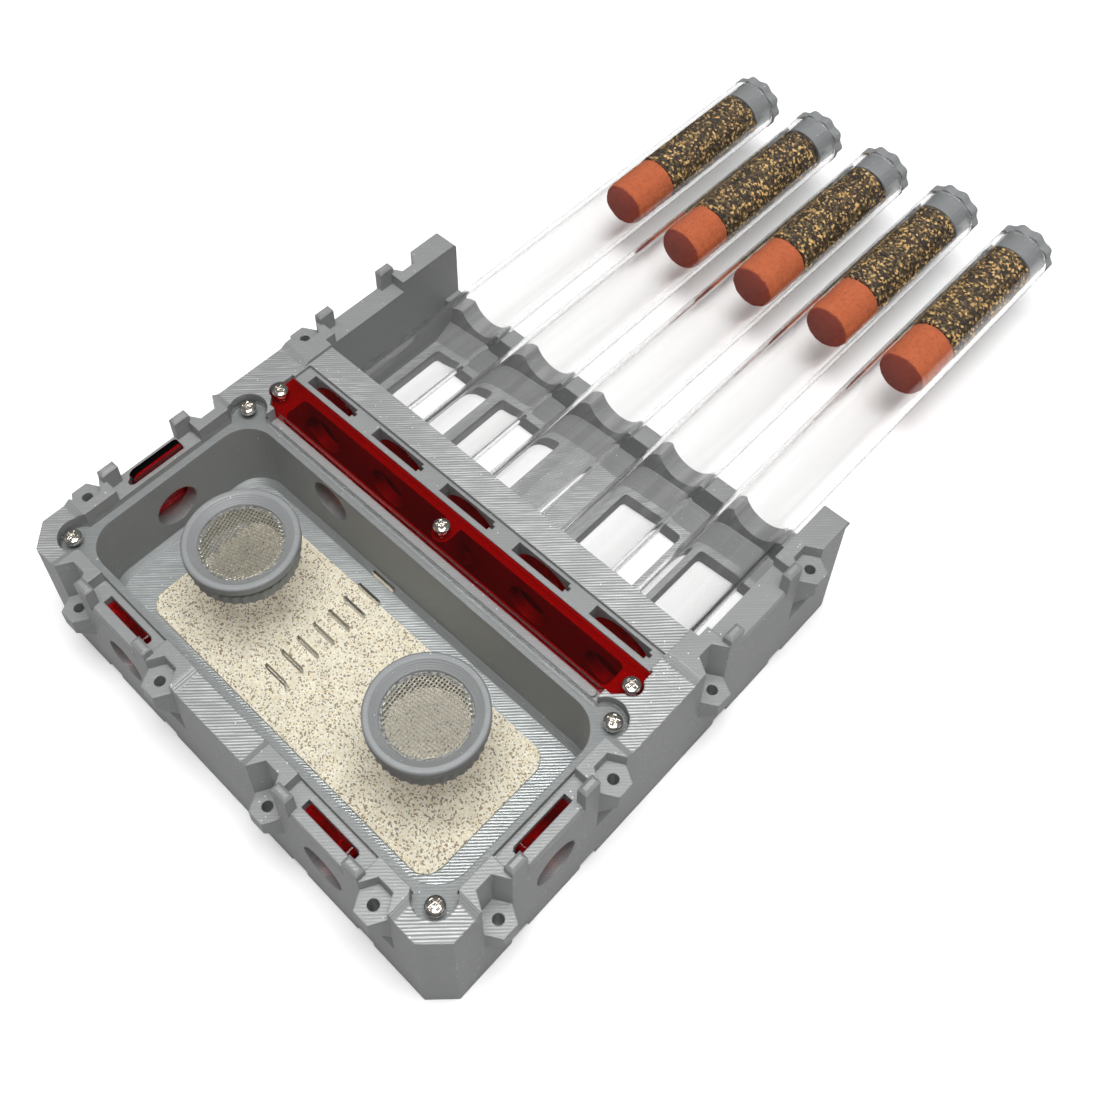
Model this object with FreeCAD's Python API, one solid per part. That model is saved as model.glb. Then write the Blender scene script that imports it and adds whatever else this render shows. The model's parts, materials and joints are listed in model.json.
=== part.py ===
import FreeCAD, Part
import math
import os

# Ant habitat: a printed housing with a lidded arena, a cross corridor and a rack of five glass tubes.
# Millimetres. While it is modelled, x = 0 is the middle plane, y = 0 the front wall and z = 0 the base;
# export() moves everything so that the origin is the middle of the bounding box at the base.

V = FreeCAD.Vector

# Body
HALF_W = 65.0
DEPTH = 128.0
FRONT_CUT = 5.0
BACK_CUT = 1.5
TOP = 34.0
BLOCK_TOP = 35.0
SADDLE = 31.5

# Connector groups, two to a wall, seen from outside: u runs right, v runs inward
LUG_U = 16.25
LUG_R = 3.9
NOTCH_R = 4.0
LUG_HOLE_R = 1.2
LOW_TOP = 22.0
LOW_FLAT = 17.5
LOW_ROOT = 14.8
HIGH_FLAT = 27.0
BLOCK_U0 = 11.6
BLOCK_U1 = 20.4
BLOCK_SLOPE = 1.6
PEG_U0 = 8.0
PEG_U1 = 12.2
PEG_V = 2.2
PEG_TOP = 37.7
STACK_NOTCH_H = 1.9
STACK_NOTCH_V = 2.6

# Ports and their gates
PORT_Z = 18.8
PORT_R = 5.5
SLOT_V = 3.9
SLOT_HALF = 7.5
SLOT_W = 2.1
SLOT_TAPER = 6.7
SLOT_FLOOR = 12.0
GATE_T = 1.8
GATE_TOP = 30.7
GATE_LIFTED = 3.3

# Arena, sand and lid
ARENA = (-56.5, 56.5, 8.5, 56.5)
ARENA_R = 8.0
ARENA_FLOOR = 8.5
ARENA_BEVEL = 1.5
SAND = (-46.4, 46.4, 14.0, 50.7)
SAND_R = 4.5
SAND_BED = 6.85
SAND_TOP = 8.85
LEDGE = 30.2
RECESS = (-59.0, 59.0, 6.3, 58.7)
LID = (-58.4, 58.4, 6.6, 58.4)
LID_T = 2.0
LOBES = ((-56.4, 8.45), (56.4, 8.45), (-56.4, 56.45), (56.4, 56.45))
LOBE_R = 4.6
LID_LOBE_R = 4.3
LID_SCREWS = ((-57.5, 7.5), (57.5, 7.5), (-57.5, 57.2), (57.5, 57.2))
SLITS = 8
SLIT_Y = 17.5
SLIT_PITCH = 4.34
SLIT_W = 0.6
SLIT_HALF = 3.15

# Screws
SCREW_R = 1.0
SCREW_HEAD_R = 2.0
SCREW_HEAD_H = 1.5
PILOT_R = 1.2

# Vents
VENT_X = 29.4
VENT_Y = 32.5
VENT_R = 13.2
VENT_TOP = 34.55
MESH_R = 9.7
MESH_Z = 32.3
NECK_R = 10.8
NECK_END = 26.6
NUT_R = 12.6
NUT_END = 27.2
NUT_TEETH = 36

# Corridor and its cover
RIB = (-50.5, 50.5, 59.0, 60.9)
RIB_TOP = 30.9
COVER_HALF = 56.4
COVER_Y0 = 61.2
COVER_Y1 = 70.4
COVER_Z = 30.0
COVER_TOP = 33.0
COVER_CUT = 3.0
COVER_SCREWS = ((-55.3, 65.4), (0.0, 65.4), (55.3, 65.4))
CORRIDOR = (-50.7, 50.7, 62.4, 69.0)
CORRIDOR_FLOOR = 8.5
INNER_PORT_X = -28.5
INNER_PORT_Z = 23.4

# Hub with the tube gates
DECK_HALF = 55.9
DECK_Y1 = 75.5
DECK = 33.0
HUB_BACK = 82.9
HUB_SLOT_Y = 73.3
HUB_SLOT_HALF = 7.55
HUB_SLOT_W = 2.74
HUB_GATE_T = 2.2
HUB_GATE_SHOULDER = 28.6
HUB_GATE_TOP = 32.5

# Rack
RACK_HALF = 58.5
RACK_FLOOR = 5.0
CRADLE_Y = 123.0
CRADLE_TOP = 17.2
CRADLE_FOOT_Y = 117.8
CRADLE_FOOT_Z = 9.5
WINDOWS = ((-55.0, -34.5), (-30.5, -10.5), (10.5, 30.5), (34.5, 55.0))
WINDOW_Y1 = 115.6

# Tubes and what is in them, tube by tube from the left
TUBE_PITCH = 22.7
TUBE_Z = 20.6
TUBE_R = 8.0
TUBE_IN_R = 6.8
TUBE_Y0 = 79.0
TUBE_Y1 = TUBE_Y0 + 160.0
TUBE_GAP = 0.25
SPONGE_R = 6.75
SPONGES = ((179.8, 194.7), (177.4, 190.3), (179.4, 194.9), (181.4, 196.0), (181.5, 195.9))
SUBSTRATE_END = 232.1
PLUG_R = 6.5
PLUG_Y0 = 232.7
KNOB_Y0 = TUBE_Y1 + 0.6
KNOB_Y1 = TUBE_Y1 + 3.4
KNOB_R = 7.8
KNOB_WAVE = 0.4
KNOB_LOBES = 10

Y_MID = (KNOB_Y1 - LUG_R * math.cos(math.radians(30.0))) / 2.0

# angle, wall x, wall y, port end of the slot taper (0 = no port)
GROUPS = (
    (0.0, -32.5, 0.0, 1),
    (0.0, 32.5, 0.0, 1),
    (90.0, HALF_W, 32.5, -1),
    (90.0, HALF_W, 97.5, 0),
    (-90.0, -HALF_W, 32.5, 1),
    (-90.0, -HALF_W, 97.5, 0),
)

# The housing is one print; these cuts give simple nodes that touch face to face: name, x0, x1, y0, y1
SECTIONS = (
    ("housing_front_wall", -70.0, 70.0, -5.0, ARENA[2]),
    ("housing_arena", -70.0, 70.0, ARENA[2], ARENA[3]),
    ("housing_middle_wall", -70.0, 70.0, ARENA[3], CORRIDOR[2]),
    ("housing_corridor", -70.0, 70.0, CORRIDOR[2], CORRIDOR[3]),
    ("housing_gate_wall", -70.0, 70.0, CORRIDOR[3], TUBE_Y0 - 0.2),
    ("housing_socket_wall", -70.0, 70.0, TUBE_Y0 - 0.2, HUB_BACK),
    ("rack_side_left", -70.0, -RACK_HALF, HUB_BACK, 135.0),
    ("rack_side_right", RACK_HALF, 70.0, HUB_BACK, 135.0),
    ("rack_floor", -RACK_HALF, RACK_HALF, HUB_BACK, CRADLE_FOOT_Y),
    ("rack_cradle", -RACK_HALF, RACK_HALF, CRADLE_FOOT_Y, 135.0),
)


def box(x0, x1, y0, y1, z0, z1):
    return Part.makeBox(x1 - x0, y1 - y0, z1 - z0, V(x0, y0, z0))


def prism(points, z0, z1):
    """Extrudes a plan outline from z0 to z1."""
    ring = [V(x, y, z0) for x, y in points]
    wire = Part.makePolygon(ring + ring[:1])
    return Part.Face(wire).extrude(V(0, 0, z1 - z0))


def prism_x(points, x0, x1):
    """Extrudes an outline of (y, z) points from x0 to x1."""
    ring = [V(x0, y, z) for y, z in points]
    wire = Part.makePolygon(ring + ring[:1])
    return Part.Face(wire).extrude(V(x1 - x0, 0, 0))


def prism_y(points, y0, y1):
    """Extrudes an outline of (x, z) points from y0 to y1."""
    ring = [V(x, y0, z) for x, z in points]
    wire = Part.makePolygon(ring + ring[:1])
    return Part.Face(wire).extrude(V(0, y1 - y0, 0))


def rod_z(x, y, r, z0, z1):
    return Part.makeCylinder(r, z1 - z0, V(x, y, z0), V(0, 0, 1))


def rod_y(x, z, r, y0, y1):
    return Part.makeCylinder(r, y1 - y0, V(x, y0, z), V(0, 1, 0))


def disc(u, v, r, sides):
    """Lists the corners of a plain round piece's outline."""
    corners = []
    for k in range(sides):
        a = 2.0 * math.pi * k / sides
        corners.append((u + r * math.cos(a), v + r * math.sin(a)))
    return corners


def edges_along(shape, axis):
    """Lists the straight edges of a shape that run along an axis."""
    found = []
    for edge in shape.Edges:
        if not isinstance(edge.Curve, Part.Line):
            continue
        if abs(abs(edge.tangentAt(edge.FirstParameter).dot(axis)) - 1.0) < 1e-6:
            found.append(edge)
    return found


def rounded(plan, r, z0, z1):
    """Makes a box with rounded vertical edges; plan is (x0, x1, y0, y1)."""
    shape = box(plan[0], plan[1], plan[2], plan[3], z0, z1)
    return shape.makeFillet(r, edges_along(shape, V(0, 0, 1)))


def revolve(points, x, y):
    """Turns an outline of (radius, z) points about a vertical axis."""
    ring = [V(r, 0, z) for r, z in points]
    face = Part.Face(Part.makePolygon(ring + ring[:1]))
    shape = face.revolve(V(0, 0, 0), V(0, 0, 1), 360)
    shape.translate(V(x, y, 0))
    return shape


def placed(shape, group):
    """Moves a shape drawn on a wall group's own axes to its wall."""
    moved = shape.copy()
    moved.rotate(V(0, 0, 0), V(0, 0, 1), group[0])
    moved.translate(V(group[1], group[2], 0))
    return moved


def hexagon(u, r, z0, z1):
    return prism(disc(u, 0.0, r, 6), z0, z1)


def lug(u, top, flat, root):
    """Makes one connector lug: a hexagonal boss whose underside slopes back to the wall."""
    reach = LUG_R * math.cos(math.radians(30.0))
    side = [(2.0, top), (-reach - 1.0, top), (-reach - 1.0, flat)]
    side += [(-reach, flat), (0.0, root), (2.0, root)]
    return prism_x(side, u - 5.0, u + 5.0).common(hexagon(u, LUG_R, root - 1.0, top))


def hollow(u):
    """Makes the hollow under a high lug that takes the low lug of the next habitat."""
    reach = NOTCH_R * math.cos(math.radians(30.0))
    side = [(-1.0, LOW_ROOT - 0.8), (0.0, LOW_ROOT - 0.1), (reach, LOW_FLAT), (reach + 1.0, LOW_FLAT)]
    side += [(reach + 1.0, LOW_TOP), (-1.0, LOW_TOP)]
    cutter = prism_x(side, u - 5.0, u + 5.0)
    cutter = cutter.common(hexagon(u, NOTCH_R, LOW_ROOT - 1.0, LOW_TOP))
    return cutter.common(box(u - 5.0, u + 5.0, 0.0, 5.0, 0.0, 40.0))


def block(side):
    """Makes a raised block at one side of a group, with its sloping far end."""
    u0, u1 = BLOCK_U0 * side, BLOCK_U1 * side
    u2 = u1 + BLOCK_SLOPE * side
    points = [(u0, TOP - 0.5), (u0, BLOCK_TOP), (u1, BLOCK_TOP), (u2, TOP), (u2, TOP - 0.5)]
    return prism_y(points, 0.0, 6.4)


def peg(side):
    """Makes a stacking peg with a chamfered crown beside a saddle."""
    u0, u1 = sorted((PEG_U0 * side, PEG_U1 * side))
    shape = box(u0, u1, 0.0, PEG_V, SADDLE - 1.0, PEG_TOP)
    crown = [e for e in shape.Edges if e.CenterOfMass.z > PEG_TOP - 1e-3]
    return shape.makeChamfer(0.6, crown)


def slot(taper):
    """Makes a gate slot, one end of which tapers to a finger nick."""
    w = SLOT_W / 2.0
    points = [(-SLOT_HALF, -w), (SLOT_TAPER, -w), (SLOT_HALF, -0.5)]
    points += [(SLOT_HALF, 0.5), (SLOT_TAPER, w), (-SLOT_HALF, w)]
    points = [(u * taper, SLOT_V + v) for u, v in points]
    return prism(points, SLOT_FLOOR, 40.0)


def wall_group(body, group):
    """Cuts and adds the saddle, pegs, lugs, port and gate slot of one wall group."""
    reach = 7.0
    body = body.cut(placed(box(-BLOCK_U0, BLOCK_U0, -1.0, reach, SADDLE, 40.0), group))
    lip = prism_x([(-1, 30.4), (0, 30.4), (0.6, 31.5), (0.6, 32.5), (-1, 32.5)], -PEG_U0, PEG_U0)
    body = body.cut(placed(lip, group))
    added = [peg(-1), peg(1)]
    added.append(lug(-LUG_U, LOW_TOP, LOW_FLAT, LOW_ROOT))
    added.append(lug(LUG_U, SADDLE, HIGH_FLAT, LOW_TOP))
    if group[3]:
        added += [block(-1), block(1)]
    body = body.fuse([placed(s, group) for s in added])
    cut = [hexagon(-LUG_U, NOTCH_R, LOW_TOP, 40.0), hexagon(LUG_U, NOTCH_R, SADDLE, 40.0)]
    cut.append(hollow(LUG_U))
    cut.append(rod_z(-LUG_U, 0.0, LUG_HOLE_R, 12.5, LOW_TOP + 1.0))
    cut.append(rod_z(LUG_U, 0.0, LUG_HOLE_R, LOW_TOP - 1.0, SADDLE + 1.0))
    for side in (-1, 1):
        u0, u1 = sorted(((PEG_U0 - 0.2) * side, (PEG_U1 + 0.5) * side))
        cut.append(box(u0, u1, -1.0, STACK_NOTCH_V, -1.0, STACK_NOTCH_H))
    if group[3]:
        cut.append(slot(group[3]))
        cut.append(rod_y(0.0, PORT_Z, PORT_R, -1.0, 10.0))
    return body.cut([placed(s, group) for s in cut])


def rear_blocks(side):
    """Makes the raised blocks on the rack's side wall."""
    x0, x1 = sorted((RACK_HALF * side, HALF_W * side))
    shapes = [box(x0, x1, 75.7, 85.9, TOP - 0.5, BLOCK_TOP)]
    a0, a1 = sorted((56.3 * side, HALF_W * side))
    ramp = [(73.9, TOP - 0.5), (73.9, TOP), (75.7, BLOCK_TOP), (HUB_BACK, BLOCK_TOP), (HUB_BACK, TOP - 0.5)]
    shapes.append(prism_x(ramp, a0, a1))
    tail = [(109.1, TOP - 0.5), (109.1, BLOCK_TOP), (127.2, BLOCK_TOP), (DEPTH, TOP), (DEPTH, TOP - 0.5)]
    shapes.append(prism_x(tail, x0, x1))
    return shapes


def outline():
    w, d, f, b = HALF_W, DEPTH, FRONT_CUT, BACK_CUT
    points = [(-w + f, 0), (w - f, 0), (w, f), (w, d - b), (w - b, d)]
    return points + [(-w + b, d), (-w, d - b), (-w, f)]


def rack_cutters():
    cut = [box(-RACK_HALF, RACK_HALF, HUB_BACK, CRADLE_Y, RACK_FLOOR, 40.0)]
    cut.append(box(-RACK_HALF, RACK_HALF, CRADLE_Y - 0.1, DEPTH + 1.0, CRADLE_TOP, 40.0))
    for x0, x1 in WINDOWS:
        cut.append(rounded((x0, x1, HUB_BACK + 0.4, WINDOW_Y1), 1.2, -1.0, RACK_FLOOR + 1.0))
    return cut


def tube_cutters():
    cut = []
    for k in range(-2, 3):
        x = k * TUBE_PITCH
        cut.append(rod_y(x, TUBE_Z, TUBE_R + TUBE_GAP, TUBE_Y0 - 0.2, HUB_BACK + 1.0))
        cut.append(rod_y(x, TUBE_Z, TUBE_R + TUBE_GAP, CRADLE_FOOT_Y, DEPTH + 1.0))
        cut.append(rod_y(x, TUBE_Z, PORT_R, CORRIDOR[3] - 1.0, TUBE_Y0))
        w = HUB_SLOT_W / 2.0
        y = HUB_SLOT_Y
        well = box(x - HUB_SLOT_HALF, x + HUB_SLOT_HALF, y - w, y + w, SLOT_FLOOR, 40.0)
        cut.append(well.fuse(box(x + 7.0, x + 8.4, y - 0.5, y + 0.5, SLOT_FLOOR, 40.0)))
    return cut


def arena_cutters():
    pocket = rounded(ARENA, ARENA_R, ARENA_FLOOR, 40.0)
    floor_edges = [e for e in pocket.Edges if e.CenterOfMass.z < ARENA_FLOOR + 1e-3]
    pocket = pocket.makeChamfer(ARENA_BEVEL, floor_edges)
    cut = [pocket, rounded(SAND, SAND_R, SAND_BED, 20.0)]
    cut.append(rounded(RECESS, 1.5, LEDGE, 40.0))
    cut += [rod_z(x, y, LOBE_R, LEDGE, 40.0) for x, y in LOBES]
    cut += [rod_z(x, y, PILOT_R, 23.5, 40.0) for x, y in LID_SCREWS]
    return cut


def cover_plan(gap):
    """Lists the cover's outline, grown by a gap."""
    w, y0, y1, c = COVER_HALF + gap, COVER_Y0 - gap, COVER_Y1 + gap, COVER_CUT
    return [(-w + c, y0), (w - c, y0), (w, y0 + c), (w, y1), (-w, y1), (-w, y0 + c)]


def corridor_cutters():
    cut = [prism(cover_plan(0.2), COVER_Z, 40.0)]
    cut += [rod_z(x, y, 2.6, COVER_Z, 40.0) for x, y in COVER_SCREWS]
    cut += [rod_z(x, y, PILOT_R, 22.0, 40.0) for x, y in COVER_SCREWS[::2]]
    cut.append(rounded(CORRIDOR, 1.5, CORRIDOR_FLOOR, 40.0))
    cut.append(rod_y(INNER_PORT_X, INNER_PORT_Z, PORT_R, ARENA[3] - 1.0, CORRIDOR[2] + 1.0))
    cut.append(box(-DECK_HALF, DECK_HALF, COVER_Y1, DECK_Y1, DECK, 40.0))
    cut.append(box(-52.0, 52.0, RECESS[3] - 1.0, COVER_Y0, COVER_Z, 40.0))
    return cut


def screw_post():
    """Makes the pillar in the corridor wall that takes the cover's middle screw."""
    post = box(-2.4, 2.4, 65.4, CORRIDOR[3] + 0.5, CORRIDOR_FLOOR, COVER_Z)
    post = post.fuse(rod_z(0.0, 65.4, 2.4, CORRIDOR_FLOOR, COVER_Z))
    return post.cut(rod_z(0.0, 65.4, PILOT_R, 22.0, 40.0))


def make_housing():
    body = prism(outline(), 0.0, TOP)
    body = body.fuse(rear_blocks(-1) + rear_blocks(1))
    for group in GROUPS:
        body = wall_group(body, group)
    body = body.cut(rack_cutters())
    foot = [(CRADLE_FOOT_Y, RACK_FLOOR - 0.5), (CRADLE_FOOT_Y, RACK_FLOOR), (CRADLE_Y, CRADLE_FOOT_Z)]
    foot += [(CRADLE_Y + 0.5, CRADLE_FOOT_Z), (CRADLE_Y + 0.5, RACK_FLOOR - 0.5)]
    body = body.fuse(prism_x(foot, -RACK_HALF, RACK_HALF))
    body = body.cut(arena_cutters() + corridor_cutters() + tube_cutters())
    body = body.fuse([rounded(RIB, 0.9, COVER_Z - 1.0, RIB_TOP), screw_post()])
    return body.removeSplitter()


def make_sand():
    return rounded(SAND, SAND_R, SAND_BED, SAND_TOP)


def make_lid():
    shape = rounded(LID, 1.2, LEDGE, LEDGE + LID_T)
    shape = shape.fuse([rod_z(x, y, LID_LOBE_R, LEDGE, LEDGE + LID_T) for x, y in LOBES])
    cut = [rod_z(x, y, PILOT_R, 20.0, 40.0) for x, y in LID_SCREWS]
    cut += [rod_z(x, VENT_Y, NECK_R + 0.3, 20.0, 40.0) for x in (-VENT_X, VENT_X)]
    for k in range(SLITS):
        y = SLIT_Y + SLIT_PITCH * k
        cut.append(box(-SLIT_HALF, SLIT_HALF, y - SLIT_W / 2.0, y + SLIT_W / 2.0, 20.0, 40.0))
    return shape.cut(cut).removeSplitter()


def make_screw(x, y, seat, end):
    """Makes a screw, its head standing on seat."""
    head = prism(disc(x, y, SCREW_HEAD_R, 24), seat, seat + SCREW_HEAD_H)
    return head.fuse(prism(disc(x, y, SCREW_R, 12), end, seat)).removeSplitter()


def make_screws(places, seat, end):
    return Part.makeCompound([make_screw(x, y, seat, end) for x, y in places])


def make_vent_ring(x):
    """Makes a vent's flanged ring: a cone down to the mesh seat, and a threaded neck."""
    seat = LEDGE + LID_T
    rim = MESH_R + 0.05
    points = [(9.0, NECK_END), (NECK_R, NECK_END), (NECK_R, seat), (VENT_R, seat)]
    points += [(VENT_R, VENT_TOP - 0.4), (VENT_R - 0.4, VENT_TOP), (11.8, VENT_TOP)]
    points += [(rim, MESH_Z + 0.5), (rim, MESH_Z), (9.0, MESH_Z)]
    return revolve(points, x, VENT_Y)


def make_vent_nut(x):
    """Makes the knurled nut that clamps a vent ring from below the lid."""
    knurl = []
    for k in range(2 * NUT_TEETH):
        a = math.pi * k / NUT_TEETH
        r = NUT_R - 0.35 * (k % 2)
        knurl.append((x + r * math.cos(a), VENT_Y + r * math.sin(a)))
    shape = prism(knurl, NUT_END, LEDGE - 0.1)
    return shape.cut(rod_z(x, VENT_Y, NECK_R + 0.3, 20.0, 40.0))


def make_mesh(x):
    return prism(disc(x, VENT_Y, MESH_R, 48), MESH_Z, MESH_Z + 0.3)


def make_cover():
    shape = prism(cover_plan(0.0), COVER_Z, COVER_TOP)
    ends = [rod_z(x, y, 2.4, COVER_Z, COVER_TOP) for x, y in COVER_SCREWS[::2]]
    shape = shape.fuse(ends)
    return shape.cut([rod_z(x, y, PILOT_R, 20.0, 40.0) for x, y in COVER_SCREWS]).removeSplitter()


def make_port_gate(group, lift):
    """Makes a sliding port gate with rounded top corners."""
    t = GATE_T / 2.0
    u0, u1 = sorted((-7.3 * group[3], 6.5 * group[3]))
    plate = box(u0, u1, SLOT_V - t, SLOT_V + t, SLOT_FLOOR + 0.2, GATE_TOP)
    corners = [e for e in edges_along(plate, V(0, 1, 0)) if e.CenterOfMass.z > GATE_TOP - 1e-3]
    plate = placed(plate.makeFillet(1.5, corners), group)
    plate.translate(V(0, 0, lift))
    return plate


def make_hub_gate(x):
    """Makes a tube gate, a plate with an arched top."""
    w = HUB_SLOT_HALF - 0.25
    t = HUB_GATE_T / 2.0
    bottom, side, crest = SLOT_FLOOR + 0.2, HUB_GATE_SHOULDER, HUB_GATE_TOP
    y = HUB_SLOT_Y - t
    arc = Part.Arc(V(x + w, y, side), V(x, y, crest), V(x - w, y, side)).toShape()
    foot = Part.makePolygon([V(x - w, y, side), V(x - w, y, bottom), V(x + w, y, bottom), V(x + w, y, side)])
    wire = Part.Wire(Part.sortEdges(arc.Edges + foot.Edges)[0])
    return Part.Face(wire).extrude(V(0, HUB_GATE_T, 0))


def make_tube(x):
    shape = rod_y(x, TUBE_Z, TUBE_R, TUBE_Y0, TUBE_Y1)
    return shape.cut(rod_y(x, TUBE_Z, TUBE_IN_R, TUBE_Y0 - 1.0, TUBE_Y1 + 1.0))


def make_stopper(x):
    """Makes a tube stopper: a plug and a scalloped grip disc."""
    rim = []
    for k in range(6 * KNOB_LOBES):
        a = math.pi * k / (3 * KNOB_LOBES)
        r = KNOB_R + KNOB_WAVE * math.cos(KNOB_LOBES * a)
        rim.append((x + r * math.cos(a), TUBE_Z + r * math.sin(a)))
    plug = prism_y(disc(x, TUBE_Z, PLUG_R, 36), PLUG_Y0, KNOB_Y0 + 0.1)
    return plug.fuse(prism_y(rim, KNOB_Y0, KNOB_Y1)).removeSplitter()


def export(name, shape):
    moved = shape.copy()
    moved.translate(V(0, -Y_MID, 0))
    moved.exportStep("parts/" + name + ".step")


def build_housing():
    """Writes the housing section by section, and the sand bonded to its arena floor."""
    housing = make_housing()
    for name, x0, x1, y0, y1 in SECTIONS:
        export(name, housing.common(box(x0, x1, y0, y1, -5.0, 45.0)))
    export("sand_floor", make_sand())


def build_top():
    """Writes the lid, the cover, the vents and their screws."""
    export("arena_lid", make_lid())
    export("lid_screws", make_screws(LID_SCREWS, LEDGE + LID_T, 24.0))
    export("corridor_cover", make_cover())
    export("cover_screws", make_screws(COVER_SCREWS, COVER_TOP, 23.0))
    for name, x in (("left", -VENT_X), ("right", VENT_X)):
        export("vent_ring_" + name, make_vent_ring(x))
        export("vent_nut_" + name, make_vent_nut(x))
        export("vent_mesh_" + name, make_mesh(x))


def build_gates():
    export("port_gate_front_left", make_port_gate(GROUPS[0], 0.0))
    export("port_gate_front_right", make_port_gate(GROUPS[1], 0.0))
    export("port_gate_right", make_port_gate(GROUPS[2], 0.0))
    export("port_gate_left", make_port_gate(GROUPS[4], GATE_LIFTED))
    for k in range(5):
        export("hub_gate_%d" % (k + 1), make_hub_gate((k - 2) * TUBE_PITCH))


def build_tubes():
    for k in range(5):
        x = (k - 2) * TUBE_PITCH
        number = str(k + 1)
        export("tube_" + number, make_tube(x))
        front, back = SPONGES[k]
        filling = disc(x, TUBE_Z, SPONGE_R, 24)
        export("sponge_" + number, prism_y(filling, front, back))
        export("substrate_" + number, prism_y(filling, back, SUBSTRATE_END))
        export("stopper_" + number, make_stopper(x))


def main():
    os.makedirs("parts", exist_ok=True)
    build_housing()
    build_top()
    build_gates()
    build_tubes()


main()
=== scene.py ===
"""Looks of the ant habitat: finishes for the CAD nodes, grains, foam and wire, lights and camera."""

import json
import logging
import math
from dataclasses import dataclass, field
from enum import Enum
from typing import Sequence

import bpy
import numpy as np
from mathutils import Matrix, Vector

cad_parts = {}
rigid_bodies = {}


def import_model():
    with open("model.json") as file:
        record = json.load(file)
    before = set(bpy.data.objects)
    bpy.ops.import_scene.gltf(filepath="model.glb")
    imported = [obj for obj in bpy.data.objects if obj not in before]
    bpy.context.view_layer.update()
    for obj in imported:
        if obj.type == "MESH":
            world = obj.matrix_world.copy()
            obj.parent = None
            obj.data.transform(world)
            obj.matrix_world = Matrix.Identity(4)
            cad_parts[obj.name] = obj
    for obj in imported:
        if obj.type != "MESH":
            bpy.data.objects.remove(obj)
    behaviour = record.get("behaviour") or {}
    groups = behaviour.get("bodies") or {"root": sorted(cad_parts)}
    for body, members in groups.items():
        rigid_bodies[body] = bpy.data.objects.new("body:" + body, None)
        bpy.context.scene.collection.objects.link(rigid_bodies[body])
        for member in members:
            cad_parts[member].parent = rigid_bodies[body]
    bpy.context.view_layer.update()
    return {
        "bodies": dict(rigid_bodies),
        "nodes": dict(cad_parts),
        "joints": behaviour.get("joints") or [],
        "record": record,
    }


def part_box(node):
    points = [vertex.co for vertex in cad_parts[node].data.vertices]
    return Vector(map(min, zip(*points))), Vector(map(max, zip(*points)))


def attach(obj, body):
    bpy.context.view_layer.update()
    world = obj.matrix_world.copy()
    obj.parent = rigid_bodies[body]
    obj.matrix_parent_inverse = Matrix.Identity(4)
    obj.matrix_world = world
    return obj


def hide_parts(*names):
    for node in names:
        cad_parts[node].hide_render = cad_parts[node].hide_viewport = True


LOG = logging.getLogger("habitat")
MM = 0.001
SEED = 20

Colour = tuple[float, float, float]
Triple = tuple[float, float, float]
Source = float | Colour | bpy.types.NodeSocket


class Slot(str, Enum):
    """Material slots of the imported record."""

    PRINT = "print"
    PRINT_LIGHT = "print_light"
    SAND = "sand"
    CLEAR = "clear_acrylic"
    RED = "red_acrylic"
    SCREW = "screw"
    MESH = "mesh"
    GLASS = "glass"
    SPONGE = "sponge"
    SUBSTRATE = "substrate"


@dataclass(frozen=True)
class PrintFinish:
    """A layered plastic print.

    Args:
        base: Colour of the plastic.
        layer_mm: Height of a layer on upright faces.
        hatch_mm: Pitch of the diagonal strokes on level faces.
        depth_mm: Depth of the lines.
        speck: Share of bright specks, from 0 to 1.
        roughness: Roughness of the surface.
    """

    base: Colour
    layer_mm: float
    hatch_mm: float
    depth_mm: float
    speck: float
    roughness: float


@dataclass(frozen=True)
class ClearFinish:
    """A clear or tinted transparent solid.

    Args:
        tint: Colour of what is seen through it.
        roughness: Roughness of its faces.
        index: Index of refraction.
        shadow: Colour of the light that it lets through to what is under it.
        shine: Level of its reflections.
        cut: Colour of its cut edges.
        cut_below: Upward share of the normal under which a face counts as a cut edge.
    """

    tint: Colour
    roughness: float
    index: float
    shadow: Colour
    shine: float
    cut: Colour = (1.0, 1.0, 1.0)
    cut_below: float = -1.0


@dataclass(frozen=True)
class MetalFinish:
    """A bare or plated metal.

    Args:
        base: Colour of the metal.
        roughness: Roughness in the middle of its range.
    """

    base: Colour
    roughness: float


@dataclass(frozen=True)
class GrainFinish:
    """A bed of grains: a ground colour and two kinds of darker and lighter grain.

    Args:
        ground: Colour of most grains.
        dark: Colour of the dark grains.
        light: Colour of the light grains.
        size_mm: Size of a grain.
        roughness: Roughness of the grains.
        dark_from: Draw from 0 to 1 past which a grain is dark.
        light_from: Draw from 0 to 1 past which a grain turns lighter.
    """

    ground: Colour
    dark: Colour
    light: Colour
    size_mm: float
    roughness: float
    dark_from: float = 0.88
    light_from: float = 0.35


PRINT = PrintFinish((0.30, 0.305, 0.305), 0.34, 0.92, 0.07, 0.5, 0.36)
PRINT_LIGHT = PrintFinish((0.30, 0.31, 0.315), 0.34, 0.6, 0.04, 0.35, 0.4)
# The lid's cut edges are frosted; their dark grey is in part painted shade, the shade on the cut faces of
# its slits
CLEAR = ClearFinish((0.97, 0.985, 0.98), 0.0, 1.12, (0.93, 0.94, 0.94), 0.5, (0.10, 0.095, 0.085), 0.5)
GLASS = ClearFinish((0.99, 0.99, 0.987), 0.0, 1.49, (0.94, 0.94, 0.94), 0.5)
RED = ClearFinish((0.84, 0.0, 0.012), 0.02, 1.3, (0.85, 0.008, 0.02), 0.03)
SCREW = MetalFinish((0.78, 0.74, 0.68), 0.16)
WIRE = MetalFinish((0.74, 0.71, 0.62), 0.3)
SAND = GrainFinish((0.86, 0.74, 0.54), (0.22, 0.14, 0.08), (1.0, 0.95, 0.84), 0.32, 0.9, 0.82, 0.2)
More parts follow.
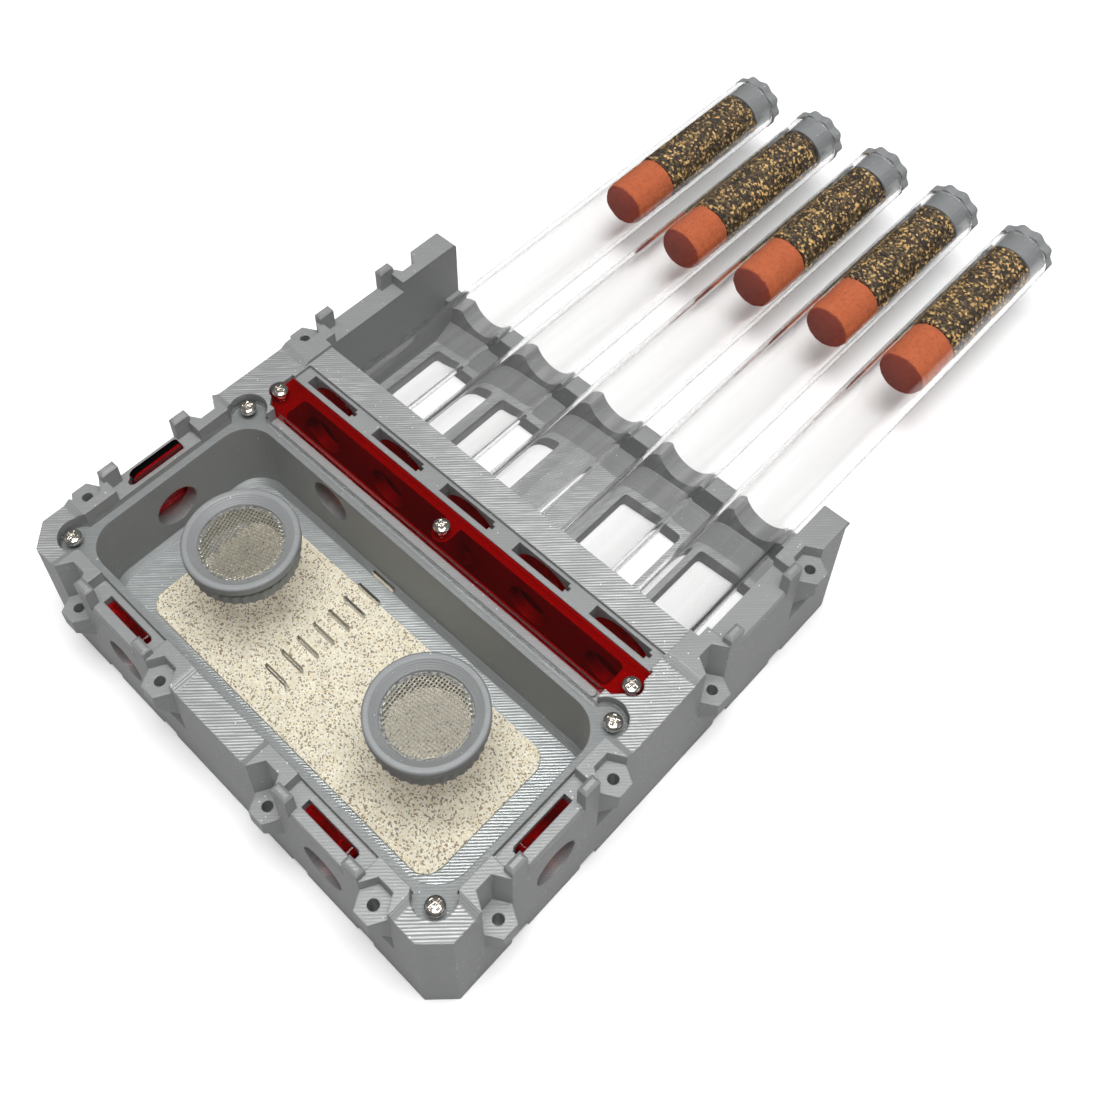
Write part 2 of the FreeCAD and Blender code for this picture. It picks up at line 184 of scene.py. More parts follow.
SUBSTRATE = GrainFinish((0.035, 0.017, 0.005), (0.006, 0.003, 0.001), (1.0, 0.66, 0.25), 0.6, 0.6, 0.55, 0.5)
FOAM_ORANGE = ((0.52, 0.10, 0.03), (0.66, 0.17, 0.06))
FOAM_RED = ((0.27, 0.035, 0.018), (0.38, 0.06, 0.03))

# Planes where two sections of the housing touch, in millimetres of the drawing: y, then |x|
SEAMS_Y = (8.5, 56.5, 62.4, 69.0, 78.8, 82.9, 117.8)
SEAM_X = 58.5
Y_MID = 119.5113

# Levels of the housing that show open infill strokes, in millimetres
COARSE_BELOW = 9.0
COARSE_TOP = 34.0


class Graph:
    """Builds the nodes of one tree.

    Args:
        tree: The node tree to fill.
    """

    def __init__(self, tree: bpy.types.NodeTree) -> None:
        """Starts at the first column of the tree."""
        self.tree = tree
        self.column = 0

    def add(self, kind: str, **settings: object) -> bpy.types.Node:
        """Adds a node and sets its properties.

        Args:
            kind: Type of the node.
            settings: Properties to set, by name.

        Returns:
            The new node.
        """
        node = self.tree.nodes.new(kind)
        for name, value in settings.items():
            setattr(node, name, value)
        node.location = (180 * self.column, -140 * (self.column % 4))
        self.column += 1
        return node

    def feed(self, node: bpy.types.Node, name: str | int, value: Source) -> None:
        """Links a socket to an input, or sets the input to a constant.

        Args:
            node: Node whose input is fed.
            name: Name or number of the input.
            value: Socket, number or colour.
        """
        target = node.inputs[name]
        if isinstance(value, bpy.types.NodeSocket):
            self.tree.links.new(value, target)
        elif isinstance(value, tuple) and len(value) == 3 and len(target.default_value) == 4:
            target.default_value = (*value, 1.0)
        else:
            target.default_value = value

    def math(self, operation: str, *values: Source, clamp: bool = False) -> bpy.types.NodeSocket:
        """Adds a Math node over the values.

        Args:
            operation: What it works out.
            values: Its inputs in order.
            clamp: Whether the result is kept from 0 to 1.

        Returns:
            The result's socket.
        """
        node = self.add("ShaderNodeMath", operation=operation, use_clamp=clamp)
        for i, value in enumerate(values):
            self.feed(node, i, value)
        return node.outputs[0]

    def vector(self, operation: str, a: Source, b: Source) -> bpy.types.NodeSocket:
        """Adds a Vector Math node.

        Args:
            operation: What it works out.
            a: First vector.
            b: Second vector, or the factor of SCALE.

        Returns:
            The result's socket.
        """
        node = self.add("ShaderNodeVectorMath", operation=operation)
        self.feed(node, 0, a)
        if operation == "SCALE":
            self.feed(node, "Scale", b)
        else:
            self.feed(node, 1, b)
        return node.outputs["Value" if operation == "DOT_PRODUCT" else "Vector"]

    def mix(self, factor: Source, a: Source, b: Source, blend: str = "MIX") -> bpy.types.NodeSocket:
        """Mixes two colours.

        Args:
            factor: 0 for the first, 1 for the second.
            a: First colour.
            b: Second colour.
            blend: Way of mixing.

        Returns:
            The mixed colour's socket.
        """
        node = self.add("ShaderNodeMix", data_type="RGBA", blend_type=blend)
        self.feed(node, 0, factor)
        self.feed(node, 6, a)
        self.feed(node, 7, b)
        return node.outputs[2]

    def ramp(self, value: Source, low: float, high: float) -> bpy.types.NodeSocket:
        """Maps low to 0 and high to 1, clamped.

        Args:
            value: What is mapped.
            low: Value that gives 0.
            high: Value that gives 1.

        Returns:
            The result's socket.
        """
        node = self.add("ShaderNodeMapRange", clamp=True)
        self.feed(node, "Value", value)
        node.inputs["From Min"].default_value = low
        node.inputs["From Max"].default_value = high
        return node.outputs[0]

    def noise(self, where: Source, scale: float, detail: float = 2.0) -> bpy.types.Node:
        """Adds a noise texture.

        Args:
            where: Place that it is read at.
            scale: Scale of the noise.
            detail: Octaves of detail.

        Returns:
            The texture node.
        """
        node = self.add("ShaderNodeTexNoise")
        self.feed(node, "Vector", where)
        node.inputs["Scale"].default_value = scale
        node.inputs["Detail"].default_value = detail
        return node

    def cells(self, where: Source, scale: float, feature: str = "F1") -> bpy.types.Node:
        """Adds a Voronoi texture.

        Args:
            where: Place that it is read at.
            scale: Cells for each unit of length.
            feature: Which distance it gives.

        Returns:
            The texture node.
        """
        node = self.add("ShaderNodeTexVoronoi", feature=feature)
        self.feed(node, "Vector", where)
        node.inputs["Scale"].default_value = scale
        return node

    def place_mm(self) -> bpy.types.NodeSocket:
        """Gives the place on the object in millimetres."""
        coordinates = self.add("ShaderNodeTexCoord")
        return self.vector("SCALE", coordinates.outputs["Object"], 1000.0)


class Groups:
    """The shared node groups."""

    def __init__(self) -> None:
        """Builds each group once."""
        self.lines = self._lines()
        self.specks = self._specks()

    @staticmethod
    def _new(
        name: str, inputs: Sequence[tuple[str, float]], outputs: Sequence[tuple[str, str]]
    ) -> Graph:
        """Starts a node group.

        Args:
            name: Name of the group.
            inputs: Label and default of each input.
            outputs: Label and socket type of each output.

        Returns:
            A builder for the group's tree.
        """
        tree = bpy.data.node_groups.new(name, "ShaderNodeTree")
        for label, default in inputs:
            socket = tree.interface.new_socket(label, in_out="INPUT", socket_type="NodeSocketFloat")
            socket.default_value = default
        for label, kind in outputs:
            tree.interface.new_socket(label, in_out="OUTPUT", socket_type=kind)
        return Graph(tree)

    def _lines(self) -> bpy.types.NodeTree:
        """Makes the print lines: layers on upright faces and diagonal strokes on level ones.

        Returns:
            The group's tree, which puts out a normal, a tone with painted shade in the stroke grooves of
            level faces, and a mask of painted glints on the strokes.
        """
        inputs = (("Layer", 0.3), ("Hatch", 0.5), ("Depth", 0.05))
        number = "NodeSocketFloat"
        outputs = (("Normal", "NodeSocketVector"), ("Tone And Shade", number), ("Glint", number))
        g = self._new("PrintLines", inputs, outputs)
        start, end = g.add("NodeGroupInput"), g.add("NodeGroupOutput")
        place = g.place_mm()
        xyz = g.add("ShaderNodeSeparateXYZ")
        g.feed(xyz, 0, place)
        x, y, z = xyz.outputs[0], xyz.outputs[1], xyz.outputs[2]
        shape = g.add("ShaderNodeNewGeometry")
        normal = g.add("ShaderNodeSeparateXYZ")
        g.feed(normal, 0, shape.outputs["True Normal"])
        level = g.ramp(g.math("ABSOLUTE", normal.outputs[2]), 0.80, 0.9)
        # Layers on upright faces
        wander = g.noise(g.vector("MULTIPLY", place, (0.05, 0.05, 0.9)), 1.0, 1.0).outputs[0]
        layers = g.math("ADD", g.math("DIVIDE", z, start.outputs["Layer"]), wander)
        side = g.math("PINGPONG", layers, 0.5)
        # Strokes on level faces
        turned = g.add("ShaderNodeVectorRotate", rotation_type="Z_AXIS")
        g.feed(turned, "Vector", place)
        turned.inputs["Angle"].default_value = math.radians(-45.0)
        along = g.vector("MULTIPLY", turned.outputs[0], (0.045, 1.0, 1.0))
        patch = g.noise(g.vector("MULTIPLY", along, (1.0, 0.25, 0.25)), 1.0, 2.0).outputs[0]
        rows = g.math("ADD", g.math("DIVIDE", g.math("SUBTRACT", y, x), start.outputs["Hatch"]), patch)
        strokes = g.math("PINGPONG", rows, 0.5)
        # Painted glints: bright patches along the strokes of level faces, where they would catch the light
        sheen = g.noise(g.vector("MULTIPLY", turned.outputs[0], (0.16, 1.3, 1.3)), 1.0, 3.0).outputs[0]
        zone = g.ramp(g.noise(g.vector("SCALE", place, 0.10), 1.0, 1.0).outputs[0], 0.36, 0.56)
        line = g.math("MULTIPLY", g.ramp(strokes, 0.18, 0.42), g.ramp(sheen, 0.40, 0.62))
        rough = self._coarse_levels(g, z)
        zone = g.math("MULTIPLY", g.math("ADD", 0.3, g.math("MULTIPLY", zone, 0.7)), rough)
        glint = g.math("MULTIPLY", g.math("MULTIPLY", line, level), zone)
        # Relief of both
        height = g.add("ShaderNodeMix", data_type="FLOAT")
        g.feed(height, 0, level)
        g.feed(height, 2, side)
        g.feed(height, 3, g.math("MULTIPLY", strokes, rough))
        grit = g.noise(place, 2.6, 3.0).outputs[0]
        total = g.math("ADD", g.math("MULTIPLY", height.outputs[0], 2.0), g.math("MULTIPLY", grit, 0.5))
        bump = g.add("ShaderNodeBump")
        bump.inputs["Strength"].default_value = 1.0
        g.feed(bump, "Distance", g.math("MULTIPLY", start.outputs["Depth"], MM))
        g.feed(bump, "Height", total)
        g.feed(bump, "Normal", self._soft_edges(g, x, y, shape.outputs["Normal"]))
        g.feed(end, "Normal", bump.outputs[0])
        # Colour tone of the plastic, less painted shade in the grooves between strokes on level faces
        streak = g.noise(g.vector("MULTIPLY", place, (0.03, 0.03, 3.1)), 1.0, 2.0).outputs[0]
        tone = g.math("ADD", g.math("MULTIPLY", streak, 0.22), g.math("MULTIPLY", grit, 0.12))
        groove = g.math("SUBTRACT", 1.0, g.ramp(strokes, 0.0, 0.25))
        share = g.math("MULTIPLY", g.math("MULTIPLY", level, rough), 0.16)
        shade = g.math("MULTIPLY", groove, share)
        g.feed(end, "Tone And Shade", g.math("SUBTRACT", g.math("ADD", tone, 0.83), shade))
        g.feed(end, "Glint", glint)
        return g.tree

    @staticmethod
    def _coarse_levels(g: Graph, z: bpy.types.NodeSocket) -> bpy.types.NodeSocket:
        """Gives 1 on the levels that show open infill strokes, and little elsewhere.

        Args:
            g: Builder of the group's tree.
            z: Height in millimetres.

        Returns:
            The factor's socket.
        """
        low = g.math("LESS_THAN", z, COARSE_BELOW)
        top = g.math("LESS_THAN", g.math("ABSOLUTE", g.math("SUBTRACT", z, COARSE_TOP)), 0.2)
        return g.math("MAXIMUM", g.math("MAXIMUM", low, top), 0.22)

    @staticmethod
    def _soft_edges(
        g: Graph, x: bpy.types.NodeSocket, y: bpy.types.NodeSocket, plain: bpy.types.NodeSocket
    ) -> bpy.types.NodeSocket:
        """Gives normals that round the edges, but not where two sections of the housing touch.

        Args:
            g: Builder of the group's tree.
            x: Place across, in millimetres.
            y: Place along, in millimetres.
            plain: Normal that is used beside those planes.

        Returns:
            The normal's socket.
        """
        bevel = g.add("ShaderNodeBevel", samples=4)
        bevel.inputs["Radius"].default_value = 0.42 * MM
        beside = g.math("SUBTRACT", g.math("ABSOLUTE", x), SEAM_X)
        near = g.math("LESS_THAN", g.math("ABSOLUTE", beside), 0.5)
        for seam in SEAMS_Y:
            gap = g.math("ABSOLUTE", g.math("SUBTRACT", y, seam - Y_MID))
            near = g.math("MAXIMUM", near, g.math("LESS_THAN", gap, 0.5))
        pick = g.add("ShaderNodeMix", data_type="VECTOR")
        g.feed(pick, 0, near)
        g.feed(pick, 4, bevel.outputs[0])
        g.feed(pick, 5, plain)
        return pick.outputs[1]

    def _specks(self) -> bpy.types.NodeTree:
        """Makes sparse round specks of a pitch given in millimetres.

        Returns:
            The group's tree, which puts out a mask.
        """
        inputs = (("Pitch", 1.0), ("Share", 0.3), ("Radius", 0.15))
        g = self._new("Specks", inputs, (("Mask", "NodeSocketFloat"),))
        start, end = g.add("NodeGroupInput"), g.add("NodeGroupOutput")
        cells = g.cells(g.place_mm(), 1.0)
        g.feed(cells, "Scale", g.math("DIVIDE", 1.0, start.outputs["Pitch"]))
        tint = g.add("ShaderNodeSeparateColor")
        g.feed(tint, 0, cells.outputs["Color"])
        near = g.math("LESS_THAN", cells.outputs["Distance"], start.outputs["Radius"])
        chosen = g.math("LESS_THAN", tint.outputs[0], start.outputs["Share"])
        g.feed(end, "Mask", g.math("MULTIPLY", near, chosen))
        return g.tree


class Finishes:
    """Makes one material for each slot.

    Args:
        groups: The shared node groups.
    """

    def __init__(self, groups: Groups) -> None:
        """Starts with no material made."""
        self.groups = groups
        self.made: dict[Slot, bpy.types.Material] = {}

    def material(self, slot: Slot) -> bpy.types.Material:
        """Gives the material of a slot, making it the first time.

        Args:
            slot: The slot.

        Returns:
            Its material.
        """
        if slot not in self.made:
            self.made[slot] = self._make(slot)
            LOG.info("finish %s", slot.value)
        return self.made[slot]

    def _make(self, slot: Slot) -> bpy.types.Material:
        """Makes the material of a slot.

        Args:
            slot: The slot.

        Returns:
            A new material.
        """
        match slot:
            case Slot.PRINT:
                return self._print(slot, PRINT)
            case Slot.PRINT_LIGHT:
                return self._print(slot, PRINT_LIGHT)
            case Slot.CLEAR:
                return self._clear(slot, CLEAR)
            case Slot.GLASS:
                return self._clear(slot, GLASS)
            case Slot.RED:
                return self._clear(slot, RED)
            case Slot.SCREW:
                return self._metal(slot, SCREW)
            case Slot.MESH:
                return self._metal(slot, WIRE)
            case Slot.SAND:
                return self._grains(slot, SAND)
            case Slot.SUBSTRATE:
                return self._grains(slot, SUBSTRATE)
            case _:
                return self._sponge(slot)

    @staticmethod
    def _start(slot: Slot) -> tuple[bpy.types.Material, Graph, bpy.types.Node]:
        """Starts a material with a Principled shader in it.

        Args:
            slot: Slot that names the material.

        Returns:
            The material, a builder for its tree, and the shader.
        """
        material = bpy.data.materials.new("finish_" + slot.value)
        material.use_nodes = True
        graph = Graph(material.node_tree)
        shader = material.node_tree.nodes["Principled BSDF"]
        return material, graph, shader

    @staticmethod
    def _group(g: Graph, tree: bpy.types.NodeTree, **values: float) -> bpy.types.Node:
        """Places a shared node group in a material.

        Args:
            g: Builder of the material's tree.
            tree: The group.
            values: The group's inputs, by name.

        Returns:
            The group's node.
        """
        node = g.add("ShaderNodeGroup", node_tree=tree)
        for name, value in values.items():
            node.inputs[name].default_value = value
        return node

    def _print(self, slot: Slot, finish: PrintFinish) -> bpy.types.Material:
        """Makes the printed plastic: grey with print lines, bright specks, and painted glints and painted
        shade on the strokes of level faces.

        Args:
            slot: The slot.
            finish: Its values.

        Returns:
            A new material.
        """
        material, g, shader = self._start(slot)
        sizes = {"Layer": finish.layer_mm, "Hatch": finish.hatch_mm, "Depth": finish.depth_mm}
        lines = self._group(g, self.groups.lines, **sizes)
        specks = self._group(g, self.groups.specks, Pitch=1.1, Share=0.25 * finish.speck, Radius=0.13)
        fine = self._group(g, self.groups.specks, Pitch=0.55, Share=0.3 * finish.speck, Radius=0.16)
        both = g.math("MAXIMUM", specks.outputs[0], g.math("MULTIPLY", fine.outputs[0], 0.5))
        # Painted highlight: the glints on the strokes of level faces lighten the colour like the specks do
        both = g.math("MAXIMUM", both, g.math("MULTIPLY", lines.outputs["Glint"], 0.42))
        grey = g.vector("SCALE", finish.base, lines.outputs["Tone And Shade"])
        g.feed(shader, "Base Color", g.mix(both, grey, (0.85, 0.86, 0.87)))
        g.feed(shader, "Normal", lines.outputs["Normal"])
        shader.inputs["Roughness"].default_value = finish.roughness
        shader.inputs["Metallic"].default_value = 0.15
        shader.inputs["Specular IOR Level"].default_value = 0.5
        return material

    def _clear(self, slot: Slot, finish: ClearFinish) -> bpy.types.Material:
        """Makes a transparent solid whose shadow is a light tint.

        Args:
            slot: The slot.
            finish: Its values.

        Returns:
            A new material.
        """
        material, g, shader = self._start(slot)
        shader.inputs["Transmission Weight"].default_value = 1.0
        shader.inputs["IOR"].default_value = finish.index
        shape = g.add("ShaderNodeNewGeometry")
        normal = g.add("ShaderNodeSeparateXYZ")
        g.feed(normal, 0, shape.outputs["True Normal"])
        cut = g.math("LESS_THAN", g.math("ABSOLUTE", normal.outputs[2]), finish.cut_below)
        g.feed(shader, "Base Color", g.mix(cut, finish.tint, finish.cut))
        g.feed(shader, "Roughness", g.math("ADD", finish.roughness, g.math("MULTIPLY", cut, 0.45)))
        shader.inputs["Specular IOR Level"].default_value = finish.shine
        light = g.add("ShaderNodeLightPath")
        through = g.add("ShaderNodeBsdfTransparent")
        through.inputs[0].default_value = (*finish.shadow, 1.0)
        mixer = g.add("ShaderNodeMixShader")
        hidden = g.math("MAXIMUM", light.outputs["Is Shadow Ray"], light.outputs["Is Diffuse Ray"])
        g.feed(mixer, 0, hidden)
        g.feed(mixer, 1, shader.outputs[0])
        g.feed(mixer, 2, through.outputs[0])
        out = material.node_tree.nodes["Material Output"]
        g.feed(out, "Surface", mixer.outputs[0])
        return material

    def _metal(self, slot: Slot, finish: MetalFinish) -> bpy.types.Material:
        """Makes a metal with slight grime.

        Args:
            slot: The slot.
            finish: Its values.

        Returns:
            A new material.
        """
        material, g, shader = self._start(slot)
        grime = g.noise(g.place_mm(), 0.8, 4.0).outputs[0]
        tone = g.vector("SCALE", finish.base, g.math("ADD", 0.75, g.math("MULTIPLY", grime, 0.5)))
        g.feed(shader, "Base Color", tone)
        shader.inputs["Metallic"].default_value = 1.0
        g.feed(shader, "Roughness", g.math("ADD", finish.roughness - 0.05, g.math("MULTIPLY", grime, 0.1)))
        return material

    def _grains(self, slot: Slot, finish: GrainFinish) -> bpy.types.Material:
        """Makes a bed of grains, each cell with a tone of its own.

        Args:
            slot: The slot.
            finish: Its values.

        Returns:
            A new material.
        """
        material, g, shader = self._start(slot)
        place = g.place_mm()
        cells = g.cells(place, 1.0 / finish.size_mm)
        tint = g.add("ShaderNodeSeparateColor")
        g.feed(tint, 0, cells.outputs["Color"])
        cloud = g.noise(g.vector("SCALE", place, 0.22), 1.0, 3.0).outputs[0]
        dark = g.math("GREATER_THAN", tint.outputs[0], finish.dark_from)
        light = g.ramp(tint.outputs[1], finish.light_from, 1.0)
        body = g.mix(light, finish.ground, finish.light)
        body = g.mix(g.math("MULTIPLY", dark, 0.8), body, finish.dark)
        shade = g.math("ADD", 0.82, g.math("MULTIPLY", cloud, 0.36))
        g.feed(shader, "Base Color", g.vector("SCALE", body, shade))
        bump = g.add("ShaderNodeBump")
        bump.inputs["Strength"].default_value = 0.7
        bump.inputs["Distance"].default_value = 0.3 * finish.size_mm * MM
        g.feed(bump, "Height", g.math("SUBTRACT", 1.0, cells.outputs["Distance"]))
        g.feed(shader, "Normal", bump.outputs[0])
        shader.inputs["Roughness"].default_value = finish.roughness
        return material

    def _sponge(self, slot: Slot) -> bpy.types.Material:
        """Makes the foam: orange with a darker, redder front face, and painted shade in its pores.

        Args:
            slot: The slot.

        Returns:
            A new material.
        """
        material, g, shader = self._start(slot)
        place = g.place_mm()
        shape = g.add("ShaderNodeNewGeometry")
        facing = g.vector("DOT_PRODUCT", shape.outputs["True Normal"], (0.0, -1.0, 0.0))
        front = g.ramp(facing, 0.55, 0.8)
        pores = g.cells(place, 1.3).outputs["Distance"]
        mottle = g.noise(place, 0.7, 3.0).outputs[0]
        orange = g.mix(mottle, *FOAM_ORANGE)
        red = g.mix(mottle, *FOAM_RED)
        colour = g.mix(front, orange, red)
        pore_relief_and_shade = g.ramp(pores, 0.12, 0.35)
        # Painted shade: the colour is darkened in the pores
        g.feed(shader, "Base Color", g.mix(pore_relief_and_shade, g.vector("SCALE", colour, 0.7), colour))
        bump = g.add("ShaderNodeBump")
        bump.inputs["Strength"].default_value = 0.5
        bump.inputs["Distance"].default_value = 0.3 * MM
        g.feed(bump, "Height", pore_relief_and_shade)
        g.feed(shader, "Normal", bump.outputs[0])
        shader.inputs["Roughness"].default_value = 0.95
        return material


@dataclass
class Piece:
    """A visual piece that stands on one CAD body.

    Args:
        name: Name of the object.
        body: CAD body it rides on.
        slot: Material slot of its finish.
    """

    name: str
    body: str
    slot: Slot

    def mesh(
        self,
        points: np.ndarray,
        faces: Sequence[Sequence[int]],
        finishes: Finishes,
        smooth: bool = True,
    ) -> bpy.types.Object:
        """Makes the object from its points and faces, and puts it on its body.

        Args:
            points: Places in metres, one a row.
            faces: Point numbers of each face, seen from outside against the clock.
            finishes: The materials.
            smooth: Whether it is shaded smooth.

        Returns:
            The new object.
        """
        data = bpy.data.meshes.new(self.name)
        data.from_pydata(points.tolist(), [], [list(f) for f in faces])
        data.update()
        if smooth:
            data.polygons.foreach_set("use_smooth", [True] * len(data.polygons))
        data.materials.append(finishes.material(self.slot))
        obj = bpy.data.objects.new(self.name, data)
        bpy.context.scene.collection.objects.link(obj)
        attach(obj, self.body)
        LOG.info("piece %s on %s, %d points", self.name, self.body, len(points))
        return obj


class Rod:
    """A closed cylinder along Y whose skin is pushed in and out by a function.

    Args:
        low: Lowest corner of the room it fills.
        high: Highest corner of that room.
        around: Points around.
        along: Rings along.
    """

    def __init__(self, low: Vector, high: Vector, around: int, along: int) -> None:
        """Fits the cylinder into the room."""
        self.centre = (low + high) / 2.0
        self.radius = min(high.x - low.x, high.z - low.z) / 2.0
        self.y0, self.y1 = low.y, high.y
        self.around, self.along = around, along

    def points(self, dents: np.ndarray) -> np.ndarray:
        """Gives the skin's points and then the middles of the two ends.

        Args:
            dents: How far each point is drawn in, in metres, one row for each ring.

        Returns:
            Places in metres, one a row.
        """
        a = np.linspace(0.0, 2.0 * math.pi, self.around, endpoint=False)
        y = np.linspace(self.y0, self.y1, self.along)
        r = self.radius - dents
        x = self.centre.x + r * np.cos(a)[None, :]
        z = self.centre.z + r * np.sin(a)[None, :]
        yy = np.repeat(y[:, None], self.around, axis=1)
        skin = np.stack([x, yy, z], axis=2).reshape(-1, 3)
        ends = np.array([[self.centre.x, self.y0, self.centre.z], [self.centre.x, self.y1, self.centre.z]])
        return np.vstack([skin, ends])

    def faces(self) -> list[tuple[int, ...]]:
        """Gives the faces of the skin and the two ends.

        Returns:
            Point numbers of each face.
        """
        n, m = self.around, self.along
        found: list[tuple[int, ...]] = []
        for j in range(m - 1):
            for i in range(n):
                k = (i + 1) % n
                found.append(((j + 1) * n + i, (j + 1) * n + k, j * n + k, j * n + i))
        for i in range(n):
            k = (i + 1) % n
            found.append((n * m, i, k))
            found.append((n * m + 1, (m - 1) * n + k, (m - 1) * n + i))
        return found


def smooth_noise(shape: tuple[int, int], steps: int, rng: np.random.Generator) -> np.ndarray:
    """Makes blurred noise from 0 to 1 that wraps in its second direction.

    Args:
        shape: Rows and columns.
        steps: Steps of blur.
        rng: Source of the draws.

    Returns:
        The noise.
    """
    noise = rng.random(shape)
    for _ in range(steps):
        sides = np.roll(noise, 1, axis=1) + np.roll(noise, -1, axis=1)
        ends = np.vstack([noise[:1], noise[:-1]]) + np.vstack([noise[1:], noise[-1:]])
        noise = 0.2 * (noise + sides + ends)
    noise -= noise.min()
    return noise / noise.max()


@dataclass
class TubeSet:
    """The five glass tubes with their foam plugs and substrate.

    Args:
        finishes: The materials.
        count: How many tubes there are.
        wall: Thickness of the glass, in metres.
        around: Sides of a glass tube.
        foam_grid: Rings and sides of a foam plug.
        grain_grid: Rings and sides of the substrate.
        pore: Depth of the foam's pores, in metres.
        sag: Depth of its broad hollows, in metres.
        rounding: How far its ends are drawn in, in metres.
        play: Gap between foam and glass, in metres.
        grain: Depth between grains, in metres.
        hollow: Depth of the broad hollows in the substrate, in metres.
        rng: Source of the draws.
    """

    finishes: Finishes
    count: int = 5
    wall: float = 0.0012
    around: int = 160
    foam_grid: tuple[int, int] = (60, 96)
    grain_grid: tuple[int, int] = (320, 120)
    pore: float = 0.00035
    sag: float = 0.00025
    rounding: float = 0.0006
    play: float = 0.00006
    grain: float = 0.0007
    hollow: float = 0.0009
    rng: np.random.Generator = field(default_factory=lambda: np.random.default_rng(SEED))

    def build(self) -> None:
        """Makes each tube and its contents."""
        for number in range(1, self.count + 1):
            self.glass(number)
            self.sponge(number)
            self.substrate(number)

    def glass(self, number: int) -> None:
        """Makes one tube of round glass, open at both ends.

        Args:
            number: Number of the tube.
        """
        node = f"tube_{number}"
        low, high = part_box(node)
        middle = (low + high) / 2.0
        outer = (high.x - low.x) / 2.0
        inner = outer - self.wall
        rings = ((outer, low.y), (outer, high.y), (inner, high.y), (inner, low.y))
        points: list[list[float]] = []
        faces: list[tuple[int, ...]] = []
        for radius, y in rings:
            for k in range(self.around):
                a = 2.0 * math.pi * k / self.around
                points.append([middle.x + radius * math.cos(a), y, middle.z + radius * math.sin(a)])
        for j in range(len(rings)):
            here, there = j * self.around, (j + 1) % len(rings) * self.around
            for k in range(self.around):
                m = (k + 1) % self.around
                faces.append((there + k, there + m, here + m, here + k))
        obj = Piece(f"glass_{number}", node, Slot.GLASS).mesh(np.array(points), faces, self.finishes)
        obj.data.set_sharp_from_angle(angle=math.radians(40.0))
        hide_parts(node)

    def sponge(self, number: int) -> None:
        """Makes one foam plug.

        Args:
            number: Number of the tube.
        """
        node = f"sponge_{number}"
        along, around = self.foam_grid
        rod = Rod(*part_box(node), around, along)
        pores = self.pore * smooth_noise(self.foam_grid, 2, self.rng)
        dents = pores + self.sag * smooth_noise(self.foam_grid, 12, self.rng)
        edge = np.abs(np.linspace(-1.0, 1.0, along)) ** 24
        dents += self.play + self.rounding * edge[:, None]
        piece = Piece(f"foam_{number}", f"tube_{number}", Slot.SPONGE)
        obj = piece.mesh(rod.points(dents), rod.faces(), self.finishes)
        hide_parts(node)

    def substrate(self, number: int) -> None:
        """Makes one tube's substrate.

        Args:
            number: Number of the tube.
        """
        node = f"substrate_{number}"
        along, around = self.grain_grid
        rod = Rod(*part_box(node), around, along)
        fine = smooth_noise(self.grain_grid, 1, self.rng)
        broad = smooth_noise(self.grain_grid, 10, self.rng)
        dents = self.grain * fine * fine + self.hollow * np.clip(broad - 0.55, 0.0, 1.0)
        piece = Piece(f"grains_{number}", f"tube_{number}", Slot.SUBSTRATE)
        obj = piece.mesh(rod.points(dents), rod.faces(), self.finishes, smooth=False)
        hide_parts(node)


@dataclass
class Vents:
    """The woven wire of the two vents.

    Args:
        finishes: The materials.
        pitch: Distance between wires, in metres.
        wire: Width of a wire, in metres.
        lift: How far a wire rises and dips as it crosses others, in metres.
        turns: Turn of each vent's cloth, in degrees.
    """

    finishes: Finishes
    pitch: float = 0.00078
    wire: float = 0.00026
    lift: float = 0.00013
    turns: tuple[tuple[str, float], ...] = (("left", 20.0), ("right", 8.0))

    def build(self) -> None:
        """Makes the wire cloth of each vent."""
        for side, degrees in self.turns:
            self.cloth(side, degrees)

    def cloth(self, side: str, degrees: float) -> None:
        """Makes one disc of woven wire.

        Args:
            side: Which vent it is in.
            degrees: Turn of the cloth.
        """
        node = f"vent_mesh_{side}"
        low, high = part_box(node)
        centre = (low + high) / 2.0
        radius = (high.x - low.x) / 2.0
        turn = Matrix.Rotation(math.radians(degrees), 3, "Z")
        points: list[list[float]] = []
        faces: list[tuple[int, ...]] = []
        count = int(radius / self.pitch)
        for across in (False, True):
            for k in range(-count, count + 1):
                self.weave(points, faces, k, across, radius)
        placed = np.array([list(turn @ Vector(p) + centre) for p in points])
        piece = Piece(f"cloth_{side}", f"vent_{side}", Slot.MESH)
        obj = piece.mesh(placed, faces, self.finishes)
        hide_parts(node)

    def weave(
        self,
        points: list[list[float]],
        faces: list[tuple[int, ...]],
        k: int,
        across: bool,
        radius: float,
    ) -> None:
        """Adds one wire, a square bar that passes over and under the wires it crosses.

        Args:
            points: Points so far.
            faces: Faces so far.
            k: Number of the wire, counted from the middle one.
            across: Whether it runs across the others.
            radius: Radius of the disc, in metres.
        """
        offset = k * self.pitch
        half = math.sqrt(max(radius**2 - offset**2, 0.0))
        steps = max(2, int(half / self.pitch)) * 2
        w = self.wire / 2.0
        start = len(points)
        for i in range(-steps // 2, steps // 2 + 1):
            s = max(-half, min(half, i * self.pitch))
            rise = self.lift * (1 if (i + k + int(across)) % 2 else -1)
            for du, dz in ((-w, -w), (w, -w), (w, w), (-w, w)):
                u, v = offset + du, s
                points.append([v, u, rise + dz] if across else [u, v, rise + dz])
        last = len(points) - 4
        sides = [tuple(range(start + 3, start - 1, -1)), tuple(range(last, last + 4))]
        for ring in range(start, last, 4):
            for j in range(4):
                a, b = ring + j, ring + (j + 1) % 4
                sides.append((a, b, b + 4, a + 4))
        faces.extend(sides if across else [side[::-1] for side in sides])


